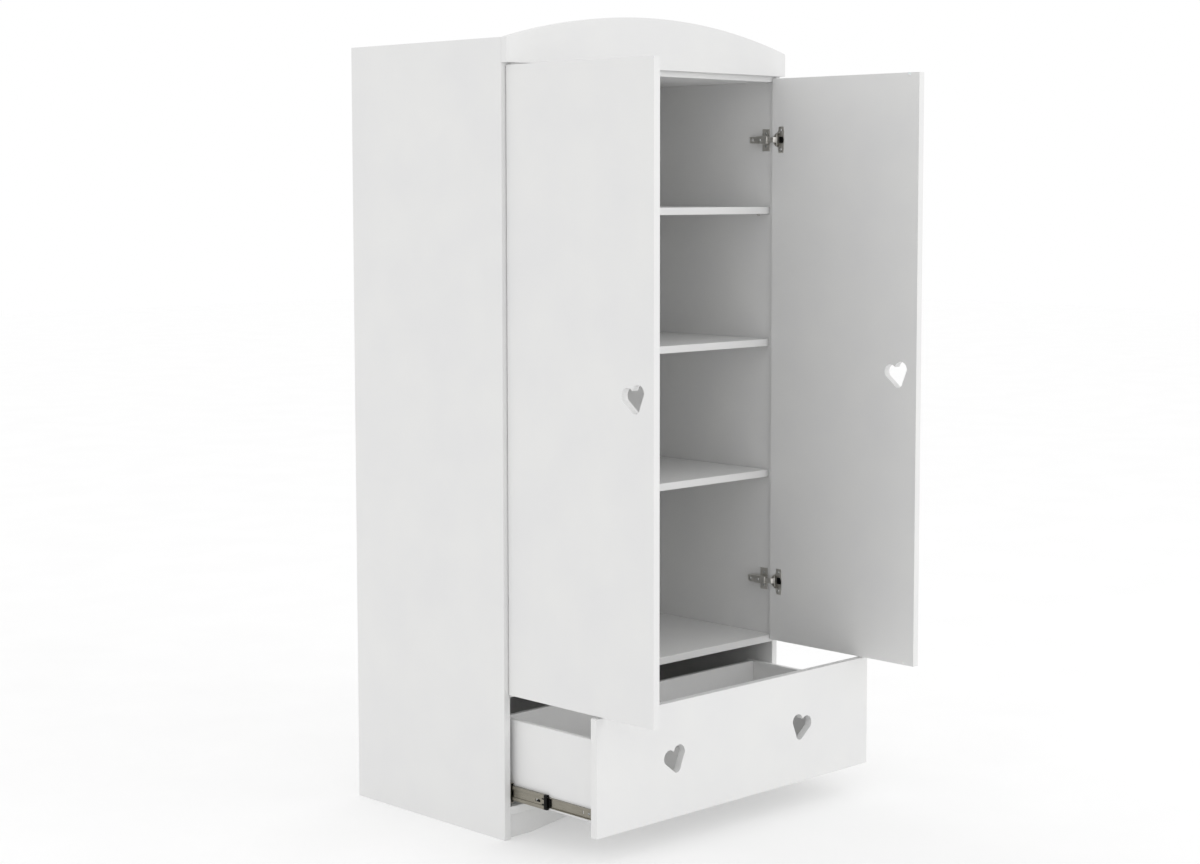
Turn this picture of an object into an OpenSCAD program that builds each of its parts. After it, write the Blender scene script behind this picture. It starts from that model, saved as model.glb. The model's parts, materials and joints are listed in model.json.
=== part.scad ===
// Wardrobe with two doors, an arched crown board and one wide drawer.
// Millimetres. +Z is up, the front faces -Y, X = 0 is the middle of the width.
// It is drawn with both doors open at a right angle and the drawer pulled out.

/* [Carcass] */
// Overall width across the two side panels
carcass_w = 930; // [800:1:1200]
// Depth of the side panels, front edge to back edge
carcass_d = 540; // [440:1:680]
// Height of the side panels
side_h = 1818; // [1500:1:2200]
// Thickness of the side panels, shelves, doors and other boards
board_t = 18; // [16:0.5:22]
// Top of the top panel below the top of the side panels
top_drop = 51.5; // [40:0.5:80]
// Clear height of the space that holds the drawer
drawer_bay_h = 254; // [220:1:300]
// Height of the plinth boards
plinth_h = 58; // [50:1:90]
// Distance of the plinth's front behind the side panels' front edges
plinth_recess = 12; // [4:1:40]
// Length of each foot left beside the arch
foot_len = 74; // [50:1:120]
// Rise of the shallow arch under the plinth
arch_rise = 26; // [10:1:36]
// Thickness of the back panel
back_t = 3; // [2:0.5:5]
// Distance of the back panel from the side panels' back edges
back_inset = 15; // [10:1:25]
// Depth of the groove that holds the back panel
groove_depth = 7; // [4:0.5:9]

/* [Crown] */
// Rise of the crown's arc above the side panels' tops
crown_rise = 64; // [30:1:100]
// Radius on the crown's two upper corners
crown_corner_r = 6; // [2:0.5:12]
// Gap between the doors and the crown
crown_gap = 5; // [3:0.5:8]

/* [Shelves] */
// Top panel's underside down to the upper shelf's top face
shelf_drop = 310.5; // [220:0.5:360]
// Distance from one shelf to the next
shelf_pitch = 333.5; // [200:0.5:360]
// Shelf's front edge behind the carcass front
shelf_recess = 14.5; // [4:0.5:40]
// Gap at each end and behind a shelf
shelf_gap = 1; // [0.5:0.25:3]
// Radius of a shelf pin
pin_r = 2.5; // [2:0.25:3]

/* [Hanging rail] */
// Height of the oval rail
rail_h = 30; // [25:1:35]
// Width of the oval rail
rail_w = 15; // [12:1:18]
// Wall of the rail
rail_wall = 1; // [0.8:0.1:2]
// Top panel's underside down to the rail's middle
rail_drop = 60; // [45:1:90]

/* [Doors] */
// Side panel's outer face left uncovered by a closed door
door_reveal = 1.5; // [1:0.25:4]
// Gap between the two closed doors
door_meet_gap = 3; // [2:0.5:6]
// Gap between a closed door and the carcass front
door_back_gap = 2; // [1.5:0.25:3]
// Overlap of a door on the floor panel's edge
door_floor_lap = 11; // [6:0.5:14]
// Overlap of a door on the top panel's edge
door_top_lap = 8.5; // [5:0.5:12]
// Outer face of an open door, inwards from the side panel's outer face
open_x = 12.5; // [11:0.25:15]
// Hinge edge of an open door in front of the carcass front
open_y = 2.5; // [2:0.25:4]

/* [Heart cut-outs] */
// Width of a heart
heart_w = 68; // [50:1:90]
// Height of a heart
heart_h = 60; // [50:1:90]
// Depth of the notch between the two lobes
heart_notch = 9.5; // [6:0.5:16]
// Radius of the heart's lower tip
heart_tip_r = 13.5; // [4:0.5:15]
// Angle of the hearts, whose tips lean towards the wardrobe's middle
heart_tilt = 14.5; // [0:0.5:30]
// Middle of a door's heart from the door's free edge
heart_edge = 59.5; // [50:0.5:90]
// Middle of a door's heart below the door's middle
heart_below = 10; // [0:0.5:60]
// Middle of each drawer heart from the middle of the drawer front
heart_spread = 216; // [100:1:300]
// Middle of the drawer hearts below the drawer front's middle
drawer_heart_below = 1.5; // [0:0.5:30]

/* [Hinges] */
// Hinge's middle from the door's nearest end
hinge_end = 152; // [90:1:200]
// Radius of the hinge cup
cup_r = 17.5; // [16:0.5:18]
// Depth of the hinge cup in the door
cup_depth = 12.3; // [11:0.1:13]
// Middle of the cup from the door's hinge edge
cup_edge = 22; // [21:0.25:24]
// Cup pin from the door's hinge edge
cup_pin_u = 12.8; // [12:0.1:14]
// Cup pin below the door's inner face
cup_pin_w = 2.6; // [2.4:0.1:3.2]
// Arm pin behind the carcass front
arm_pin_y = 10; // [9:0.25:12]
// Radius of the arm pin
arm_pin_r = 1.5; // [1.25:0.05:1.75]
// Radius of the cup pin
cup_pin_r = 1.25; // [1:0.05:1.5]
// Running clearance between a pin and the link's eye
pin_play = 0.05; // [0.02:0.01:0.1]
// Height of a hinge plate
plate_h = 55; // [48:1:60]

/* [Drawer] */
// Pulled-out distance of the front board's inner face
drawer_out = 282; // [200:1:330]
// Gap between a closed front board and the carcass front
drawer_back_gap = 2; // [1.5:0.25:3]
// Gap between the doors and the drawer front
drawer_top_gap = 4; // [3:0.5:6]
// Overlap of the drawer front on the base panel's edge
drawer_base_lap = 9; // [5:0.5:14]
// Drawer front's end inside the side panel's outer face
drawer_reveal = 2.5; // [1:0.25:4]
// Thickness of the drawer's sides and back
drawer_side_t = 12; // [10:0.5:16]
// Height of the drawer's sides
drawer_side_h = 186; // [120:1:200]
// Underside of the drawer's sides above the base panel
drawer_lift = 14; // [8:1:20]
// Distance the drawer's sides run on behind the slides' inner members
drawer_overrun = 0; // [0:1:60]
// Drawer's back board in from the sides' rear ends
drawer_back_inset = 14; // [4:1:30]
// Thickness of the drawer's bottom
drawer_bottom_t = 3.5; // [3:0.25:6]
// Depth of the groove that holds the drawer's bottom
bottom_groove = 5; // [4:0.5:7]

/* [Slides] */
// Gap between a side panel and the drawer's side, filled by the slide
slide_gap = 12.7; // [12.5:0.1:13]
// Height of the outer member
slide_h = 45.5; // [44:0.5:46]
// Length of a closed slide
slide_len = 350; // [250:5:450]
// Middle of the slide above the base panel
slide_lift = 32; // [28:1:40]
// Share of the drawer's travel that the middle member makes
mid_share = 0.43; // [0.35:0.01:0.5]
// Thickness of the slide's sheet steel
steel_t = 1.2; // [1:0.1:1.2]
// Number of balls in a row
ball_count = 8; // [4:1:10]

/* [Hidden] */
$fn = 64;
half_w = carcass_w / 2;
inner_x = half_w - board_t;
back_y = carcass_d - back_inset - back_t;

// Heights, from the floor up
base_z = plinth_h;
base_top = base_z + board_t;
floor_z = base_top + drawer_bay_h;
floor_top = floor_z + board_t;
top_z = side_h - top_drop - board_t;
top_top = top_z + board_t;
door_z = floor_top - door_floor_lap;
door_top = top_z + door_top_lap;
door_h = door_top - door_z;
crown_z = door_top + crown_gap;
drawer_front_top = door_z - drawer_top_gap;
drawer_front_z = base_top - drawer_base_lap;
drawer_front_h = drawer_front_top - drawer_front_z;
shelf_tops = [for (i = [0:2]) top_z - shelf_drop - i * shelf_pitch];

// Doors
door_w = half_w - door_reveal - door_meet_gap / 2;
heart_z = door_z + door_h / 2 - heart_below;
drawer_heart_z = drawer_front_z + drawer_front_h / 2 - drawer_heart_below;
hinge_zs = [door_z + hinge_end, door_top - hinge_end];

// The row's origin is under the middle of the whole box, with the doors open
front_y = (door_w + open_y - carcass_d) / 2;

// Hinge: a link turns on a pin in the arm and on a pin in the cup. The arm pin lies as far
// from the cup pin's closed place as from its open place, so the two ends of the door's
// swing are exact: (x from the side panel's outer face, y from the carcass front).
swing_s = door_reveal - open_y;
swing_d = open_x + board_t + door_back_gap;
pole = [(swing_s + swing_d) / 2, (swing_s - swing_d) / 2];
cup_pin_open = [open_x + board_t - cup_pin_w, -open_y - cup_pin_u];
cup_pin_closed = [door_reveal + cup_pin_u, -door_back_gap - cup_pin_w];
pin_mid = (cup_pin_open + cup_pin_closed) / 2 - pole;
arm_pin = [pole[0] + pin_mid[0] * (arm_pin_y - pole[1]) / pin_mid[1], arm_pin_y];
link_half = 6.6;
link_t = 1.6;
eye_r = 2.5;
link_clear = 6.5;
link_neck = [open_x + board_t + link_clear, cup_pin_open[1] + 4.3];
link_bend = [open_x + board_t + 0.8, cup_pin_open[1] + 1.3];
arm_half = 9.5;
arm_wall = 1.2;
arm_top = arm_pin[0] + eye_r + 0.5;
arm_front = arm_pin_y - 3;
arm_back = 70.5;
plate_y = 28;
plate_w = 23;
plate_t = 2;
block_half = 8;
block_top = arm_top - 3.6;
block_front = arm_pin_y + 9;
block_back = 66;
plate_screw_dz = 16;
arm_screw_ys = [plate_y + 2, plate_y + 27];
cup_wall = 1;
lip_r = cup_r + 1;
flange_t = 1;
flange_u = cup_edge + 6.8;
flange_half = 32.5;
flange_w = 20.6;
flange_screw_dz = 24;
cup_pin_half = 14.2;

// Screws
screw_r = 1.75;
screw_head_r = 3.5;
screw_head_h = 1.6;
flat_head_h = 1;
screw_len = 13;

// Panel fittings
cam_r = 7.5;
cam_h = 12.5;
cam_in = 24;
cam_bolt_r = 3;
cam_bolt_in = 11;
cam_bolt_head = 4;
cam_ys = [60, back_y - 60];
dowel_r = 4;
dowel_len = 32;
dowel_bury = 10;
crown_dowel_zs = [crown_z + 14, crown_z + 42];
plinth_dowel_xs = [-inner_x + 130, 0, inner_x - 130];
bracket_w = 16;
bracket_leg = 24;
bracket_t = 2;
bracket_hole = 14;
crown_bracket_x = 240;
wall_bracket_x = inner_x - 110;
wall_hole_r = 2.75;
wall_leg = 40;
wall_hole_z = 28;
wall_reach = 70;
wall_screw_ys = [36, 60];
nail_r = 3;
nail_head = 0.6;
pad_r = 3.5;
pad_t = 1.5;
pad_in = 30;
pin_len = 18;
pin_bury = 10;
pin_ys = [shelf_recess + 36, back_y - 52];
socket_l = 10;
socket_wall = 2;
socket_play = 0.3;
socket_screw_dz = rail_h / 2 + 9;
rail_y = back_y / 2;
rail_z = top_z - rail_drop;

// Drawer and slides, with x counted from the side panel's inner face towards the drawer
drawer_box_z = base_top + drawer_lift;
drawer_half = inner_x - slide_gap;
drawer_rear_y = -drawer_out + slide_len + drawer_overrun;
drawer_back_y = drawer_rear_y - drawer_back_inset - drawer_side_t;
drawer_bottom_z = drawer_box_z + 8;
slide_z = base_top + slide_lift;
outer_half = slide_h / 2;
outer_depth = 9.5;
outer_lip = 3.5;
mid_half = 17;
mid_x = 3.4;
mid_end_x = 10.8;
mid_web_x = 5.4;
mid_web_half = 9.5;
mid_lip = 3.4;
bumper_len = 10;
mid_len = slide_len - 14;
mid_closed_y = bumper_len + 2.4;
travel = drawer_out - drawer_back_gap;
mid_front_y = mid_closed_y - mid_share * travel;
mid_full_y = mid_closed_y - mid_share * slide_len;
inner_half = 12;
inner_tip_x = 8;
outer_ball_r = 1.95;
outer_ball_z = (mid_half + outer_half - steel_t) / 2;
outer_ball_x = 4.75;
inner_ball_r = 1.6;
inner_ball_z = (inner_half + mid_half - steel_t) / 2;
inner_ball_x = 7.3;
cage_t = 0.5;
cage_x = steel_t + flat_head_h + 0.25;
cap_len = 6;
// The cages roll at the mean of the two members' travel. Drawn out by the slide's whole
// length, each still lies inside both of its members.
outer_cage_full_y = cap_len + 2;
outer_cage_y = outer_cage_full_y + mid_share / 2 * (slide_len - travel);
outer_cage_len = mid_full_y + mid_len - outer_cage_full_y - 6;
inner_cage_full_y = mid_full_y + 4;
inner_cage_y = inner_cage_full_y + (1 + mid_share) / 2 * (slide_len - travel);
inner_cage_len = -drawer_back_gap - 4 - inner_cage_full_y;
outer_screw_ys = [12, slide_len - 30];
inner_screw_ys = [for (y = [34, 214, slide_len - 12]) y - drawer_out];
slot_y = -drawer_out + 54;
lever_y = -drawer_out + 158;
lever_len = 34;
catch_y = mid_front_y + 14;
drawer_bolt_zs = [drawer_box_z + 40, drawer_box_z + drawer_side_h - 40];

// ---- Places and shared shapes ----

// Moves from the carcass's own frame (y = 0 at its front) to the row's frame.
module row() translate([0, front_y, 0]) children();

module both_sides() {
    children();
    mirror([1, 0, 0]) children();
}

module mirrored(flip) {
    if (flip) mirror([1, 0, 0]) children();
    else children();
}

// A box between two corners.
module block(low, high) translate(low) cube(high - low);

// The left door's frame: x runs from the hinge edge, y = 0 is the inner face.
module on_left_door() {
    translate([-half_w + open_x + board_t, -open_y, 0]) rotate([0, 0, -90]) children();
}

// The frame of each left hinge: x from the side panel's outer face, y from the front.
module at_left_hinges() {
    for (z = hinge_zs) translate([-half_w, 0, z]) children();
}

// The left slide's frame: x from the side panel's inner face, z = 0 its middle.
module at_left_slide() translate([-inner_x, 0, slide_z]) children();

// A pan-head screw whose shaft runs down -Z from z = 0.
module screw(len = screw_len, head = screw_head_h) {
    translate([0, 0, -len]) cylinder(r = screw_r, h = len);
    cylinder(r = screw_head_r, h = head);
}

module screw_hole(len = screw_len) {
    translate([0, 0, -len]) cylinder(r = screw_r, h = len + 1);
}

// Flat strip between two points in plan, with a round end at the second.
module strip(a, b, wide) {
    d = b - a;
    translate(a) rotate(atan2(d[1], d[0])) translate([0, -wide / 2]) square([norm(d), wide]);
    translate(b) circle(d = wide);
}

// Points on an arc from angle a0 to angle a1 in the given number of steps.
function arc(c, r, a0, a1, steps) =
    [for (i = [0:steps]) let (a = a0 + (a1 - a0) * i / steps) c + r * [cos(a), sin(a)]];

// The same points mirrored in x, in reverse order.
function mirrored_back(points) =
    [for (i = [len(points) - 1:-1:0]) [-points[i][0], points[i][1]]];

// Heart outline, centred on its own box. Two round lobes run down to a rounded tip.
module heart() {
    half = heart_w / 2;
    n = heart_notch;
    // The lobes' radius gives both the width and the notch's depth.
    lobe_b = heart_w + 2 * n;
    lobe_r = (lobe_b - sqrt(lobe_b * lobe_b - 4 * (half * half + n * n))) / 2;
    lobe = [half - lobe_r, heart_h / 2 - lobe_r];
    tip = [0, -heart_h / 2 + heart_tip_r];
    span = lobe - tip;
    lean = acos((lobe_r - heart_tip_r) / norm(span));
    side_angle = atan2(span[1], span[0]) - lean;
    notch_angle = atan2(heart_h / 2 - n - lobe[1], -lobe[0]);
    right = concat(
        arc(lobe, lobe_r, notch_angle - 1, side_angle, 22),
        arc(tip, heart_tip_r, side_angle, -88, 6));
    polygon(concat([[0, heart_h / 2 - n]], right, mirrored_back(right)));
}

// A heart cut along Y through y = 0, long enough for one board. A positive angle leans the
// tip towards +X.
module heart_cut(angle) {
    rotate([90, 0, 0]) linear_extrude(height = 3 * board_t, center = true) rotate(angle) heart();
}

// ---- Where the fasteners go, each used for the piece and for its hole ----

// Two cams at each end of a board between the sides. Their frame: +Z out of the board's
// face where the cam lies, +X towards the side panel.
module at_cams() {
    both_sides() for (y = cam_ys) {
        translate([inner_x, y, top_top]) children();
        translate([inner_x, y, floor_z]) mirror([0, 0, 1]) children();
        translate([inner_x, y, base_z]) mirror([0, 0, 1]) children();
    }
}

module cam() translate([-cam_in, 0, -cam_h]) cylinder(r = cam_r, h = cam_h);

// The bolt's head end reaches into the cam, which is bored for it.
module cam_bolt() {
    head = cam_in - cam_r + cam_bolt_head;
    translate([-head, 0, -board_t / 2]) rotate([0, 90, 0])
        cylinder(r = cam_bolt_r, h = head + cam_bolt_in);
}

// Dowels: +Z points from the thin end into the thick end's board.
module at_dowels() {
    both_sides() for (z = crown_dowel_zs) {
        translate([half_w - board_t / 2, 0, z]) rotate([-90, 0, 0]) children();
    }
    for (y = cam_ys) {
        translate([0, y, floor_top]) children();
        translate([0, y, top_z]) mirror([0, 0, 1]) children();
    }
    for (x = plinth_dowel_xs) {
        translate([x, plinth_recess + board_t / 2, base_z]) mirror([0, 0, 1]) children();
        translate([x, back_y - board_t / 2, base_z]) mirror([0, 0, 1]) children();
    }
}

module dowel() translate([0, 0, -dowel_bury]) cylinder(r = dowel_r, h = dowel_len);

module at_shelf_pins() {
    for (top = shelf_tops, y = pin_ys) {
        translate([inner_x, y, top - board_t - pin_r]) children();
        translate([board_t / 2, y, top - board_t - pin_r]) mirror([1, 0, 0]) children();
    }
}

module shelf_pin() {
    translate([pin_bury - pin_len, 0, 0]) rotate([0, 90, 0]) cylinder(r = pin_r, h = pin_len);
}

// Screws that hold a crown bracket or wall bracket down on the top panel, or to the crown.
module at_crown_bracket_screws() {
    both_sides() translate([crown_bracket_x, 0, top_top]) {
        translate([0, bracket_hole, bracket_t]) children();
        translate([0, bracket_t, bracket_hole]) rotate([-90, 0, 0]) children();
    }
}

module at_wall_bracket_screws() {
    both_sides() for (y = wall_screw_ys) {
        translate([wall_bracket_x, back_y - y, top_top + bracket_t]) children();
    }
}

// Rail sockets: +Z out of the board that carries the socket.
module at_rail_sockets() {
    translate([-inner_x, rail_y, rail_z]) rotate([0, 90, 0]) children();
    translate([-board_t / 2, rail_y, rail_z]) rotate([0, -90, 0]) children();
}

module at_socket_screws() {
    at_rail_sockets() for (s = [-1, 1]) translate([s * socket_screw_dz, 0, 2]) children();
}

module at_plate_screws() {
    both_sides() at_left_hinges() for (s = [-1, 1]) {
        translate([board_t + plate_t, plate_y, s * plate_screw_dz]) rotate([0, 90, 0]) children();
    }
}

module at_arm_screws() {
    both_sides() at_left_hinges() for (y = arm_screw_ys) {
        translate([arm_top + arm_wall, y, 0]) rotate([0, 90, 0]) children();
    }
}

// The left cups' frame: x = 0 the cup's middle, y = 0 the door's inner face.
module at_left_cups() {
    on_left_door() for (z = hinge_zs) translate([cup_edge, 0, z]) children();
}

module at_cup_screws() {
    at_left_cups() for (s = [-1, 1]) {
        translate([flange_u - cup_edge, flange_t, s * flange_screw_dz]) rotate([-90, 0, 0])
            children();
    }
}

module at_outer_slide_screws() {
    both_sides() at_left_slide() for (y = outer_screw_ys) {
        translate([steel_t, y, 0]) rotate([0, 90, 0]) children();
    }
}

module at_inner_slide_screws() {
    both_sides() at_left_slide() for (y = inner_screw_ys) {
        translate([slide_gap - steel_t, y, 0]) rotate([0, -90, 0]) children();
    }
}

// Bolts from the drawer's sides into the front board's rear face and the back's ends.
module at_drawer_screws() {
    both_sides() for (z = drawer_bolt_zs) {
        translate([-drawer_half, drawer_back_y + drawer_side_t / 2, z]) rotate([0, -90, 0])
            children();
    }
}

// ---- Carcass ----

module side_panel() {
    difference() {
        block([inner_x, 0, 0], [half_w, carcass_d, side_h]);
        block([inner_x - 1, back_y, base_z], [inner_x + groove_depth, back_y + back_t, side_h + 1]);
    }
}

module side_bores() {
    at_cams() cam_bolt();
    at_dowels() dowel();
    at_shelf_pins() shelf_pin();
    at_plate_screws() screw_hole();
    at_outer_slide_screws() screw_hole();
    at_socket_screws() screw_hole();
}

module side_left() color("whitesmoke") row() difference() {
    mirror([1, 0, 0]) side_panel();
    side_bores();
}

module side_right() color("whitesmoke") row() difference() {
    side_panel();
    side_bores();
}

module partition() color("whitesmoke") row() difference() {
    block([-board_t / 2, 0, floor_top], [board_t / 2, back_y, top_z]);
    at_dowels() dowel();
    at_shelf_pins() shelf_pin();
    at_socket_screws() screw_hole();
}

// A board between the sides, from the front to the back panel.
module cross_board(z) block([-inner_x, 0, z], [inner_x, back_y, z + board_t]);

module cross_bores() {
    at_cams() cam();
    at_cams() cam_bolt();
    at_dowels() dowel();
}

module top_panel() color("whitesmoke") row() difference() {
    cross_board(top_z);
    cross_bores();
    at_crown_bracket_screws() screw_hole();
    at_wall_bracket_screws() screw_hole();
}

module floor_panel() color("whitesmoke") row() difference() {
    cross_board(floor_z);
    cross_bores();
}

module base_panel() color("whitesmoke") row() difference() {
    cross_board(base_z);
    cross_bores();
}

module plinth_front() color("whitesmoke") row() {
    half = inner_x - foot_len;
    arch_r = (half * half + arch_rise * arch_rise) / (2 * arch_rise);
    difference() {
        block([-inner_x, plinth_recess, 0], [inner_x, plinth_recess + board_t, base_z]);
        translate([0, 0, arch_rise - arch_r]) rotate([-90, 0, 0])
            cylinder(r = arch_r, h = carcass_d, $fn = 360);
        at_dowels() dowel();
    }
}

module plinth_rear() color("whitesmoke") row() difference() {
    block([-inner_x, back_y - board_t, 0], [inner_x, back_y, base_z]);
    at_dowels() dowel();
}

module back_panel() color("white") row() {
    block([-inner_x - groove_depth, back_y, base_z],
        [inner_x + groove_depth, back_y + back_t, top_top]);
}

// Outline of the crown: an arc over the full width whose ends meet the side panels' tops.
module crown_outline() {
    arc_r = (half_w * half_w + crown_rise * crown_rise) / (2 * crown_rise);
    arc_z = side_h + crown_rise - arc_r;
    cr = crown_corner_r;
    corner_x = half_w - cr;
    corner_z = arc_z + sqrt((arc_r - cr) * (arc_r - cr) - corner_x * corner_x);
    meet = atan2(corner_z - arc_z, corner_x);
    right = concat(
        [[half_w, crown_z]],
        arc([corner_x, corner_z], cr, 0, meet, 6),
        arc([0, arc_z], arc_r, meet + 0.4, 90, 30));
    left = mirrored_back([for (i = [0:len(right) - 2]) right[i]]);
    polygon(concat(right, left));
}

module crown() color("white") row() difference() {
    rotate([90, 0, 0]) linear_extrude(height = board_t) crown_outline();
    at_dowels() dowel();
    at_crown_bracket_screws() screw_hole();
}

module shelf(top) {
    block([board_t / 2 + shelf_gap, shelf_recess, top - board_t],
        [inner_x - shelf_gap, back_y - shelf_gap, top]);
}

module shelf_upper() color("whitesmoke") row() shelf(shelf_tops[0]);
module shelf_middle() color("whitesmoke") row() shelf(shelf_tops[1]);
module shelf_lower() color("whitesmoke") row() shelf(shelf_tops[2]);

module shelf_pins() color("silver") row() at_shelf_pins() shelf_pin();

// Upright oval, h high along X and w wide.
module oval(h, w) {
    square([h - w, w], center = true);
    for (s = [-1, 1]) translate([s * (h - w) / 2, 0]) circle(d = w);
}

module hanging_rail() color("gainsboro") row() {
    len = inner_x - board_t / 2 - 4;
    translate([-inner_x + 2, rail_y, rail_z]) rotate([0, 90, 0]) linear_extrude(height = len)
        difference() {
            oval(rail_h, rail_w);
            oval(rail_h - 2 * rail_wall, rail_w - 2 * rail_wall);
        }
}

module rail_sockets() color("silver") row() difference() {
    ring_h = rail_h + 2 * socket_play;
    ring_w = rail_w + 2 * socket_play;
    at_rail_sockets() {
        linear_extrude(height = 2) oval(2 * socket_screw_dz + 12, rail_w + 4);
        translate([0, 0, 2]) linear_extrude(height = socket_l) difference() {
            oval(ring_h + 2 * socket_wall, ring_w + 2 * socket_wall);
            oval(ring_h, ring_w);
        }
    }
    at_socket_screws() screw_hole();
}

module wood_dowels() color("burlywood") row() at_dowels() dowel();

module cam_locks() color("silver") row() difference() {
    at_cams() cam();
    at_cams() cam_bolt();
}

module cam_bolts() color("silver") row() at_cams() cam_bolt();

module crown_brackets() color("silver") row() difference() {
    both_sides() translate([crown_bracket_x - bracket_w / 2, 0, top_top]) {
        cube([bracket_w, bracket_leg, bracket_t]);
        cube([bracket_w, bracket_t, bracket_leg]);
    }
    at_crown_bracket_screws() screw_hole();
}

// Angle that ties the top panel to the wall behind the carcass's back edge.
module wall_brackets() color("silver") row() difference() {
    both_sides() translate([wall_bracket_x - bracket_w / 2, carcass_d, top_top]) {
        block([0, back_y - wall_reach - carcass_d, 0], [bracket_w, 0, bracket_t]);
        block([0, -bracket_t, 0], [bracket_w, 0, wall_leg]);
    }
    at_wall_bracket_screws() screw_hole();
    both_sides() translate([wall_bracket_x, carcass_d, top_top + wall_hole_z]) rotate([90, 0, 0])
        cylinder(r = wall_hole_r, h = 3 * bracket_t, center = true);
}

module bracket_screws() color("silver") row() {
    at_crown_bracket_screws() screw();
    at_wall_bracket_screws() screw();
    at_socket_screws() screw();
}

// Flat-head nails through the back panel into the cross boards and the partition.
module back_nails() color("silver") row() {
    nail_xs = [for (i = [-2:2]) i * (inner_x - 60) / 2];
    cross_zs = [for (z = [base_z, floor_z, top_z]) z + board_t / 2];
    upright_zs = [for (i = [1:4]) floor_top + i * (top_z - floor_top) / 5];
    places = concat([for (x = nail_xs, z = cross_zs) [x, z]], [for (z = upright_zs) [0, z]]);
    for (p = places) translate([p[0], back_y + back_t, p[1]]) rotate([-90, 0, 0])
        cylinder(r = nail_r, h = nail_head);
}

// ---- Hinges on the carcass ----

module hinge_plates() color("silver") row() difference() {
    both_sides() at_left_hinges() {
        block([board_t, plate_y - plate_w / 2, -plate_h / 2],
            [board_t + plate_t, plate_y + plate_w / 2, plate_h / 2]);
        block([board_t, block_front, -block_half], [block_top, block_back, block_half]);
    }
    at_plate_screws() screw_hole();
    at_arm_screws() screw_hole(arm_top - board_t - plate_t);
}

module hinge_arms() color("silver") row() difference() {
    both_sides() at_left_hinges() {
        block([arm_top, arm_front, -arm_half], [arm_top + arm_wall, arm_back, arm_half]);
        for (s = [-1, 1]) scale([1, 1, s]) {
            block([board_t + 8, arm_front + 3, arm_half - arm_wall], [arm_top, arm_back, arm_half]);
            block([arm_pin[0] - eye_r, arm_front, arm_half - arm_wall],
                [arm_top, arm_front + 3, arm_half]);
        }
    }
    both_sides() at_left_hinges() translate([arm_pin[0], arm_pin[1], -arm_half - 1])
        cylinder(r = arm_pin_r, h = 2 * arm_half + 2);
    at_arm_screws() screw_hole();
}

module hinge_plate_screws() color("silver") row() at_plate_screws() screw();

module hinge_arm_screws() color("silver") row() {
    at_arm_screws() screw(arm_top + arm_wall - board_t - plate_t - 4);
}

module arm_pins() color("silver") row() {
    both_sides() at_left_hinges() translate([arm_pin[0], arm_pin[1], -arm_half])
        cylinder(r = arm_pin_r, h = 2 * arm_half);
}

// ---- Links between arm and cup ----

module link_plan() {
    difference() {
        union() {
            translate(arm_pin) circle(r = eye_r);
            strip(arm_pin, link_neck, link_t);
            strip(link_neck, link_bend, link_t);
            strip(link_bend, cup_pin_open, link_t);
            translate(cup_pin_open) circle(r = eye_r - 0.25);
        }
        translate(arm_pin) circle(r = arm_pin_r + pin_play);
        translate(cup_pin_open) circle(r = cup_pin_r + pin_play);
    }
}

module links() {
    at_left_hinges() translate([0, 0, -link_half]) linear_extrude(height = 2 * link_half)
        link_plan();
}

module hinge_links_left() color("lightgray") row() links();
module hinge_links_right() color("lightgray") row() mirrored(true) links();

// ---- Doors ----

module door() {
    difference() {
        on_left_door() block([0, -board_t, door_z], [door_w, 0, door_top]);
        on_left_door() translate([door_w - heart_edge, 0, heart_z]) heart_cut(heart_tilt);
        at_left_cups() rotate([90, 0, 0]) translate([0, 0, -1]) cylinder(r = cup_r, h = cup_depth + 1);
        at_cup_screws() screw_hole();
    }
}

module door_left() color("white") row() door();
module door_right() color("white") row() mirrored(true) door();

// Flange on the door's inner face: wide round the cup, narrower at its two ends.
module flange_plan() {
    near = flange_u - cup_edge - flange_w / 2;
    far = near + flange_w;
    circle(r = lip_r);
    polygon([[near, -15], [near + 4, -flange_half], [far - 1, -flange_half], [far, -24],
        [far, 24], [far - 1, flange_half], [near + 4, flange_half], [near, 15]]);
}

module cups() {
    difference() {
        at_left_cups() rotate([90, 0, 0]) {
            cylinder(r = cup_r, h = cup_depth);
            translate([0, 0, -flange_t]) linear_extrude(height = flange_t) flange_plan();
        }
        at_left_cups() rotate([90, 0, 0]) translate([0, 0, -flange_t - 1])
            cylinder(r = cup_r - cup_wall, h = cup_depth + flange_t);
        at_cup_screws() screw_hole();
        cup_pin_places() cylinder(r = cup_pin_r, h = 2 * cup_pin_half);
    }
}

module cup_pin_places() {
    at_left_hinges() translate([cup_pin_open[0], cup_pin_open[1], -cup_pin_half]) children();
}

module hinge_cups_left() color("silver") row() cups();
module hinge_cups_right() color("silver") row() mirrored(true) cups();

module cup_pins() cup_pin_places() cylinder(r = cup_pin_r, h = 2 * cup_pin_half);

module cup_pins_left() color("silver") row() cup_pins();
module cup_pins_right() color("silver") row() mirrored(true) cup_pins();

module cup_screws_left() color("silver") row() at_cup_screws() screw();
module cup_screws_right() color("silver") row() mirrored(true) at_cup_screws() screw();

// Small clear bumpers near the free edge that meet the floor and top panels.
module door_bumpers() {
    lap = [door_z + door_floor_lap / 2, door_top - door_top_lap / 2];
    on_left_door() for (z = lap) translate([door_w - pad_in, 0, z]) rotate([-90, 0, 0])
        cylinder(r = pad_r, h = pad_t);
}

module door_bumpers_left() color("lightgray") row() door_bumpers();
module door_bumpers_right() color("lightgray") row() mirrored(true) door_bumpers();

// ---- Drawer ----

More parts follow.
